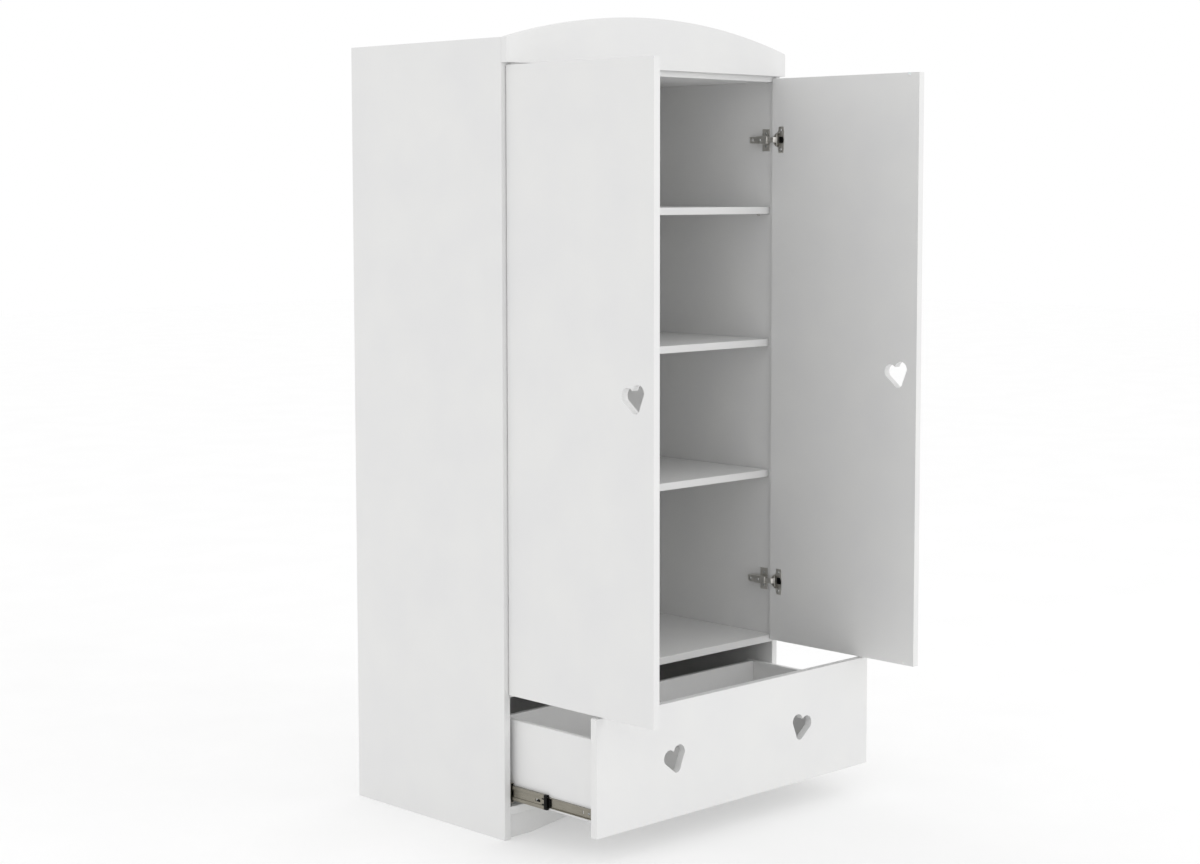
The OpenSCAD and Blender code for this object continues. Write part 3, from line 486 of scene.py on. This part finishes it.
def fastener_tree():
    """A head, with a cross recess where it has one, and a shaft on each point, turned so that
    the head looks along the point's own axis and each recess stands at its own angle."""
    tree = bpy.data.node_groups.new("fasteners_on_points", "GeometryNodeTree")
    face = tree.interface
    face.new_socket("Geometry", in_out="INPUT", socket_type="NodeSocketGeometry")
    for label in ("Foot radius", "Crown radius", "Head height", "Recess length",
                  "Recess width", "Recess depth", "Shaft radius", "Shaft length"):
        face.new_socket(label, in_out="INPUT", socket_type="NodeSocketFloat")
    face.new_socket("Finish", in_out="INPUT", socket_type="NodeSocketMaterial")
    face.new_socket("Geometry", in_out="OUTPUT", socket_type="NodeSocketGeometry")
    given = add(tree, "NodeGroupInput").outputs
    head = add(tree, "GeometryNodeMeshCone", {"Vertices": 28}, {
        "Radius Top": given["Crown radius"], "Radius Bottom": given["Foot radius"],
        "Depth": given["Head height"]}).outputs["Mesh"]
    twice = add(tree, "ShaderNodeMath", {"operation": "MULTIPLY", 1: 2.0},
                {0: given["Recess depth"]}).outputs[0]
    bar = add(tree, "ShaderNodeCombineXYZ", links={
        "X": given["Recess length"], "Y": given["Recess width"], "Z": twice}).outputs[0]
    at_crown = add(tree, "ShaderNodeCombineXYZ", links={"Z": given["Head height"]}).outputs[0]
    cut = add(tree, "GeometryNodeMeshCube", links={"Size": bar}).outputs["Mesh"]
    bars = [add(tree, "GeometryNodeTransform", {"Rotation": (0, 0, turn)},
                {"Geometry": cut, "Translation": at_crown}).outputs["Geometry"]
            for turn in (0, math.pi / 2)]
    recessed = add(tree, "GeometryNodeMeshBoolean", {"operation": "DIFFERENCE", "solver": "EXACT"},
                   {"Mesh 1": head})
    for one in bars:
        tree.links.new(one, recessed.inputs["Mesh 2"])
    has_recess = add(tree, "FunctionNodeCompare", {"data_type": "FLOAT",
                     "operation": "GREATER_THAN", 1: 0.0}, {0: given["Recess length"]})
    top = add(tree, "GeometryNodeSwitch", {"input_type": "GEOMETRY"}, {
        "Switch": has_recess.outputs["Result"], "False": head,
        "True": recessed.outputs["Mesh"]}).outputs["Output"]
    rod = add(tree, "GeometryNodeMeshCylinder", {"Vertices": 20}, {
        "Radius": given["Shaft radius"], "Depth": given["Shaft length"]}).outputs["Mesh"]
    down = add(tree, "ShaderNodeMath", {"operation": "MULTIPLY", 1: -0.5},
               {0: given["Shaft length"]}).outputs[0]
    below = add(tree, "ShaderNodeCombineXYZ", links={"Z": down}).outputs[0]
    shaft = add(tree, "GeometryNodeTransform", links={
        "Geometry": rod, "Translation": below}).outputs["Geometry"]
    whole = add(tree, "GeometryNodeJoinGeometry", links={"Geometry": top})
    tree.links.new(shaft, whole.inputs["Geometry"])
    axis = add(tree, "GeometryNodeInputNamedAttribute",
               {"data_type": "FLOAT_VECTOR", "Name": "axis"}).outputs["Attribute"]
    aimed = add(tree, "FunctionNodeAlignRotationToVector", {"axis": "Z"},
                {"Vector": axis}).outputs["Rotation"]
    chance = add(tree, "FunctionNodeRandomValue", {"data_type": "FLOAT", "Seed": 11,
                 "Max": math.pi / 2}).outputs[1]
    spin = add(tree, "FunctionNodeAxisAngleToRotation", {"Axis": (0, 0, 1)},
               {"Angle": chance}).outputs["Rotation"]
    turned = add(tree, "FunctionNodeRotateRotation", {"rotation_space": "LOCAL"},
                 {"Rotation": aimed, "Rotate By": spin}).outputs["Rotation"]
    placed = add(tree, "GeometryNodeInstanceOnPoints", links={
        "Points": given["Geometry"], "Instance": whole.outputs["Geometry"],
        "Rotation": turned}).outputs["Instances"]
    real = add(tree, "GeometryNodeRealizeInstances", links={"Geometry": placed})
    done = add(tree, "GeometryNodeSetMaterial", links={
        "Geometry": real.outputs["Geometry"], "Material": given["Finish"]})
    add(tree, "NodeGroupOutput", links={"Geometry": done.outputs["Geometry"]})
    return tree


FASTENERS = fastener_tree()


def place_fasteners(node, seats, slot, sizes):
    """Makes one mesh of fasteners for a CAD node from its seats: (place, axis) pairs."""
    points = bpy.data.meshes.new(node + "_seats")
    points.from_pydata([place for place, _ in seats], [], [])
    axis = points.attributes.new("axis", "FLOAT_VECTOR", "POINT")
    axis.data.foreach_set("vector", [c for _, direction in seats for c in direction])
    maker = bpy.data.objects.new(node + "_maker", points)
    SCENE.collection.objects.link(maker)
    modifier = maker.modifiers.new("fasteners", "NODES")
    modifier.node_group = FASTENERS
    values = {**{label: size * MM for label, size in sizes.items()}, "Finish": FINISH[slot]}
    for item in FASTENERS.interface.items_tree:
        if item.in_out == "INPUT" and item.name in values:
            modifier[item.identifier] = values[item.name]
    graph = bpy.context.evaluated_depsgraph_get()
    mesh = bpy.data.meshes.new_from_object(maker.evaluated_get(graph))
    maker.modifiers.remove(modifier)
    bpy.data.objects.remove(maker)
    bm = bmesh.new()
    bm.from_mesh(mesh)
    bpy.data.meshes.remove(mesh)
    bmesh.ops.recalc_face_normals(bm, faces=bm.faces)
    smooth_round(bm)
    finish_piece(bm, node + "_made", body_of(node), slot, [node])


def fastener(foot, crown, height, shaft_r, shaft, recess=(0, 1.1, 1.3)):
    """Sizes in mm of a head and a shaft. A recess is a cross's length, width and depth."""
    return {"Foot radius": foot, "Crown radius": crown, "Head height": height,
            "Recess length": recess[0], "Recess width": recess[1], "Recess depth": recess[2],
            "Shaft radius": shaft_r, "Shaft length": shaft}


def unit(index, sign):
    """A vector one long, along or against axis index."""
    return Vector([sign if i == index else 0.0 for i in range(3)])


# A corner belongs to a screw's end, or a cam to a board's face, when it is this near.
NEAR_END = 0.1 * MM
# Screws, in mm: pan heads, and flat ones in the slides where the ball cages pass.
SCREW_HEAD_R, SCREW_R = 3.5, 1.7
PAN_HEAD, PAN_CROWN_R, PAN_RECESS = 1.6, 2.5, (4.6, 1.1, 1.3)
FLAT_HEAD, FLAT_CROWN_R, FLAT_RECESS = 1.0, 3.3, (4.6, 1.1, 0.7)


def head_reach(points, along, middle, end):
    """How far a screw's corners at one end stand from its middle line."""
    tip = [p - middle for p in points if abs(p[along] - end) < NEAR_END]
    for arm in tip:
        arm[along] = 0
    return max((arm.length for arm in tip), default=0)


def screw_seats(node, head):
    """Where each screw's head, head metres high, meets its shaft, and the way it looks."""
    seats = []
    for low, high, points in islands(node):
        size = high - low
        along = max(range(3), key=lambda i: size[i])
        middle = (low + high) / 2
        up = (head_reach(points, along, middle, high[along])
              > head_reach(points, along, middle, low[along]))
        place = middle.copy()
        place[along] = high[along] - head if up else low[along] + head
        seats.append((place, unit(along, 1.0 if up else -1.0)))
    return seats


def place_screws(node, head, crown, recess):
    """Screws as long as the CAD node's, whose heads are head mm high."""
    low, high, _ = islands(node)[0]
    sizes = fastener(SCREW_HEAD_R, crown, head, SCREW_R, max(high - low) / MM - head, recess)
    place_fasteners(node, screw_seats(node, head * MM), "zinc_screw", sizes)


for node in ["hinge_plate_screws", "hinge_arm_screws", "cup_screws_left", "cup_screws_right",
             "bracket_screws", "drawer_screws", "slide_inner_screws"]:
    place_screws(node, PAN_HEAD, PAN_CROWN_R, PAN_RECESS)
place_screws("slide_screws", FLAT_HEAD, FLAT_CROWN_R, FLAT_RECESS)


# A pin's collar stands this far past the middle of its length. A cam's head, in mm, lies a
# little below the board's face.
PIN_COLLAR = 1.0 * MM
CAM_HEAD, CAM_SUNK = 4.0, 0.2
CAM_SEAT = (CAM_HEAD + CAM_SUNK) * MM


def nail_seats():
    """The nails of the back panel look to the rear."""
    return [(Vector(((low.x + high.x) / 2, low.y, (low.z + high.z) / 2)), unit(1, 1.0))
            for low, high, _ in islands("back_nails")]


def pin_seats():
    """Shelf pins look from each side board towards the middle of the shelves."""
    shelf_low, shelf_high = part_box("shelf_upper")
    shelf_x = (shelf_low.x + shelf_high.x) / 2
    seats = []
    for low, high, _ in islands("shelf_pins"):
        middle = (low + high) / 2
        toward = 1.0 if middle.x < shelf_x else -1.0
        seats.append((middle + Vector((toward * PIN_COLLAR, 0, 0)), unit(0, toward)))
    return seats


def cam_seats():
    """Cams look up on the top panel and down elsewhere, a little below the board's face."""
    top_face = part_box("top_panel")[1].z
    seats = []
    for low, high, _ in islands("cam_locks"):
        middle = (low + high) / 2
        up = abs(high.z - top_face) < NEAR_END
        middle.z = high.z - CAM_SEAT if up else low.z + CAM_SEAT
        seats.append((middle, unit(2, 1.0 if up else -1.0)))
    return seats


place_fasteners("back_nails", nail_seats(), "zinc_screw", fastener(3.0, 2.2, 0.6, 0.8, 14))
place_fasteners("shelf_pins", pin_seats(), SLOT["shelf_pins"], fastener(2.5, 2.1, 8.0, 2.45, 10))
place_fasteners("cam_locks", cam_seats(), "zinc_casting",
                fastener(7.35, 7.2, CAM_HEAD, 7.35, 8.2, (9.0, 1.7, 2.5)))


# ---- Floor, light and camera ----

# The floor is a sheet of opal acrylic lit from below, which keeps the shadow under the
# drawer soft. It reaches FLOOR_REACH metres each way.
FLOOR_GLOW = 0.28
FLOOR_REACH = 20


def make_floor():
    """Staging, not a piece of the wardrobe."""
    bm = bmesh.new()
    bmesh.ops.create_grid(bm, x_segments=1, y_segments=1, size=FLOOR_REACH)
    mesh = bpy.data.meshes.new("floor")
    bm.to_mesh(mesh)
    bm.free()
    floor = bpy.data.objects.new("floor", mesh)
    SCENE.collection.objects.link(floor)
    made, tree, shader, place = surface("pale_studio_floor", {
        "Roughness": 0.9, "IOR": 1.3, "Emission Color": (1, 1, 1, 1),
        "Emission Strength": FLOOR_GLOW})
    tree.links.new(tint(tree, noise(tree, place, 300), "D9D9D9", "DBDBDB"),
                   shader.inputs["Base Color"])
    mesh.materials.append(made)


def make_room():
    """An even white all round."""
    world = bpy.data.worlds.new("soft_white_room")
    SCENE.world = world
    world.use_nodes = True
    background = world.node_tree.nodes["Background"].inputs
    background["Color"].default_value = (1, 1, 1, 1)
    background["Strength"].default_value = 1.0


def make_softbox(name, size, power, place, target):
    """A round area light: size in metres, power in watts, aimed at a target."""
    data = bpy.data.lights.new(name, "AREA")
    data.shape, data.size, data.energy = "DISK", size, power
    lamp = bpy.data.objects.new(name, data)
    SCENE.collection.objects.link(lamp)
    lamp.location = place
    lamp.rotation_euler = (Vector(target) - Vector(place)).to_track_quat("-Z", "Y").to_euler()


def make_camera(place, down, right, lens, shift):
    """A camera turned down and to the right by degrees, its lens in mm on 36 mm film."""
    data = bpy.data.cameras.new("camera")
    data.lens, data.sensor_width = lens, 36.0
    data.shift_x, data.shift_y = shift
    camera = bpy.data.objects.new("camera", data)
    SCENE.collection.objects.link(camera)
    SCENE.camera = camera
    camera.location = place
    camera.rotation_euler = (math.radians(90 - down), 0, -math.radians(right))


make_floor()
make_room()
make_softbox("front_softbox", 3.0, 30, place=(0.8, -5.0, 3.2), target=(0, 0, 0.9))
SCENE.view_settings.view_transform = "Standard"
make_camera(place=(-3.7152, -3.7369, 1.4835), down=4.916, right=44.784, lens=66.062,
            shift=(-0.03, -0.045))
